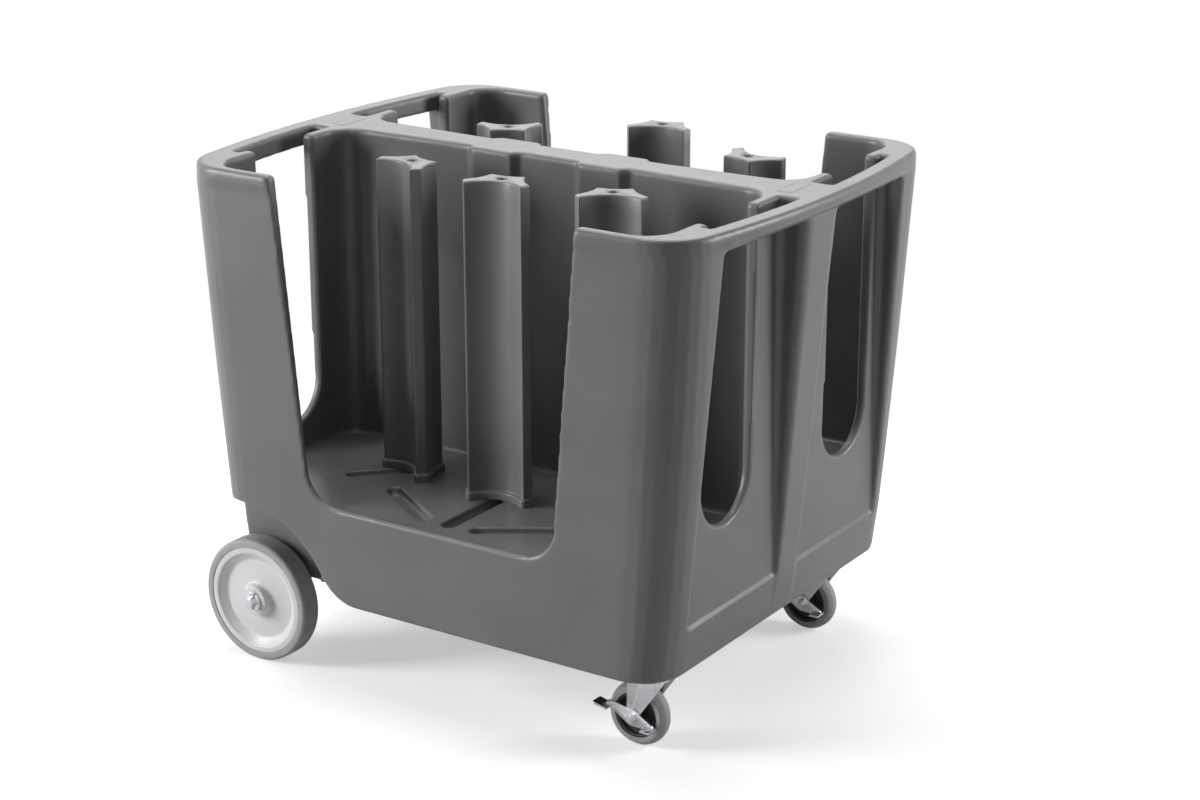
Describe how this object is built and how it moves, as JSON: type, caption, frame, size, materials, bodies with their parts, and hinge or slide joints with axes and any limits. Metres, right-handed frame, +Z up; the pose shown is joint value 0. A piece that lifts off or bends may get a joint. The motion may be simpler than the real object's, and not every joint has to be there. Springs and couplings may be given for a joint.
{
  "type": "plate dispenser cart",
  "caption": "Two-sided moulded cart for stacks of plates, with adjustable turning towers, end handles, fixed rear wheels and braked swivel casters.",
  "frame": {"origin": "on the floor under the middle of the cart", "axes": "+X along the length towards the swivel casters, +Y from the viewed side to the far side, +Z up"},
  "size_m": [0.96, 0.74, 0.811],
  "materials": {
    "body_plastic": "moulded plastic with a fine grain",
    "tower_plastic": "moulded plastic, fine grain",
    "zinc": "bright zinc plate",
    "core_plastic": "smooth light plastic",
    "grey_tread": "non-marking grey rubber",
    "dark_plastic": "dark moulded nylon",
    "pad_rubber": "moulded grip"
  },
  "bodies": {
    "frame": {"body": "body_plastic", "axle": "zinc", "axle_bracket_front": "zinc", "axle_bracket_back": "zinc", "bracket_bolts": "zinc", "arch_bolts": "zinc", "axle_spacers": "zinc", "axle_washers": "zinc", "split_pins": "zinc", "caster_plate_front": "zinc", "plate_bolts_front": "zinc", "kingpin_front": "zinc", "caster_plate_back": "zinc", "plate_bolts_back": "zinc", "kingpin_back": "zinc"},
    "carriage_front_left": {"tower_bolt_front_left": "zinc", "clamp_plate_front_left": "zinc", "clamp_nut_front_left": "dark_plastic"},
    "tower_front_left": {"tower_front_left": "tower_plastic"},
    "carriage_front_mid": {"tower_bolt_front_mid": "zinc", "clamp_plate_front_mid": "zinc", "clamp_nut_front_mid": "dark_plastic"},
    "tower_front_mid": {"tower_front_mid": "tower_plastic"},
    "carriage_front_right": {"tower_bolt_front_right": "zinc", "clamp_plate_front_right": "zinc", "clamp_nut_front_right": "dark_plastic"},
    "tower_front_right": {"tower_front_right": "tower_plastic"},
    "carriage_back_left": {"tower_bolt_back_left": "zinc", "clamp_plate_back_left": "zinc", "clamp_nut_back_left": "dark_plastic"},
    "tower_back_left": {"tower_back_left": "tower_plastic"},
    "carriage_back_mid": {"tower_bolt_back_mid": "zinc", "clamp_plate_back_mid": "zinc", "clamp_nut_back_mid": "dark_plastic"},
    "tower_back_mid": {"tower_back_mid": "tower_plastic"},
    "carriage_back_right": {"tower_bolt_back_right": "zinc", "clamp_plate_back_right": "zinc", "clamp_nut_back_right": "dark_plastic"},
    "tower_back_right": {"tower_back_right": "tower_plastic"},
    "wheel_front": {"wheel_core_front": "core_plastic", "wheel_tyre_front": "grey_tread", "wheel_bush_front": "dark_plastic"},
    "fork_front": {"fork_front": "zinc", "caster_axle_front": "zinc", "caster_nut_front": "zinc"},
    "caster_front": {"caster_core_front": "dark_plastic", "caster_tyre_front": "grey_tread"},
    "lever_front": {"brake_lever_front": "zinc", "lever_pad_front": "pad_rubber"},
    "wheel_back": {"wheel_core_back": "core_plastic", "wheel_tyre_back": "grey_tread", "wheel_bush_back": "dark_plastic"},
    "fork_back": {"fork_back": "zinc", "caster_axle_back": "zinc", "caster_nut_back": "zinc"},
    "caster_back": {"caster_core_back": "dark_plastic", "caster_tyre_back": "grey_tread"},
    "lever_back": {"brake_lever_back": "zinc", "lever_pad_back": "pad_rubber"}
  },
  "joints": [
    {"name": "slide_front_left", "type": "slide", "parent": "frame", "child": "carriage_front_left", "axis": [-0.7071, -0.7071, 0], "range_m": [0, 0.10607]},
    {"name": "turn_front_left", "type": "hinge", "parent": "carriage_front_left", "child": "tower_front_left", "pos_m": [-0.184, -0.131, 0.5], "axis": [0, 0, 1], "continuous": true},
    {"name": "slide_front_mid", "type": "slide", "parent": "frame", "child": "carriage_front_mid", "axis": [0, -1, 0], "range_m": [-0.012, 0.138]},
    {"name": "turn_front_mid", "type": "hinge", "parent": "carriage_front_mid", "child": "tower_front_mid", "pos_m": [0, -0.154, 0.5], "axis": [0, 0, 1], "continuous": true},
    {"name": "slide_front_right", "type": "slide", "parent": "frame", "child": "carriage_front_right", "axis": [0.7071, -0.7071, 0], "range_m": [0, 0.10607]},
    {"name": "turn_front_right", "type": "hinge", "parent": "carriage_front_right", "child": "tower_front_right", "pos_m": [0.184, -0.131, 0.5], "axis": [0, 0, 1], "continuous": true},
    {"name": "slide_back_left", "type": "slide", "parent": "frame", "child": "carriage_back_left", "axis": [-0.7071, 0.7071, 0], "range_m": [-0.02227, 0.08379]},
    {"name": "turn_back_left", "type": "hinge", "parent": "carriage_back_left", "child": "tower_back_left", "pos_m": [-0.19975, 0.14675, 0.5], "axis": [0, 0, 1], "continuous": true},
    {"name": "slide_back_mid", "type": "slide", "parent": "frame", "child": "carriage_back_mid", "axis": [0, 1, 0], "range_m": [-0.158, 0]},
    {"name": "turn_back_mid", "type": "hinge", "parent": "carriage_back_mid", "child": "tower_back_mid", "pos_m": [0, 0.3, 0.5], "axis": [0, 0, 1], "range_deg": [-60, 40]},
    {"name": "slide_back_right", "type": "slide", "parent": "frame", "child": "carriage_back_right", "axis": [0.7071, 0.7071, 0], "range_m": [-0.06682, 0.03924]},
    {"name": "turn_back_right", "type": "hinge", "parent": "carriage_back_right", "child": "tower_back_right", "pos_m": [0.23125, 0.17825, 0.5], "axis": [0, 0, 1], "continuous": true},
    {"name": "wheel_spin_front", "type": "hinge", "parent": "frame", "child": "wheel_front", "pos_m": [-0.359, -0.322, 0.1015], "axis": [0, 1, 0], "continuous": true},
    {"name": "swivel_front", "type": "hinge", "parent": "frame", "child": "fork_front", "pos_m": [0.352, -0.258, 0.13], "axis": [0, 0, 1], "continuous": true},
    {"name": "caster_spin_front", "type": "hinge", "parent": "fork_front", "child": "caster_front", "pos_m": [0.316, -0.258, 0.05], "axis": [0, 1, 0], "continuous": true},
    {"name": "brake_front", "type": "hinge", "parent": "fork_front", "child": "lever_front", "pos_m": [0.316, -0.258, 0.05], "axis": [0, 1, 0], "range_deg": [-18, 0]},
    {"name": "wheel_spin_back", "type": "hinge", "parent": "frame", "child": "wheel_back", "pos_m": [-0.359, 0.322, 0.1015], "axis": [0, 1, 0], "continuous": true},
    {"name": "swivel_back", "type": "hinge", "parent": "frame", "child": "fork_back", "pos_m": [0.352, 0.258, 0.13], "axis": [0, 0, 1], "continuous": true},
    {"name": "caster_spin_back", "type": "hinge", "parent": "fork_back", "child": "caster_back", "pos_m": [0.316, 0.258, 0.05], "axis": [0, 1, 0], "continuous": true},
    {"name": "brake_back", "type": "hinge", "parent": "fork_back", "child": "lever_back", "pos_m": [0.316, 0.258, 0.05], "axis": [0, 1, 0], "range_deg": [-18, 0]}
  ]
}
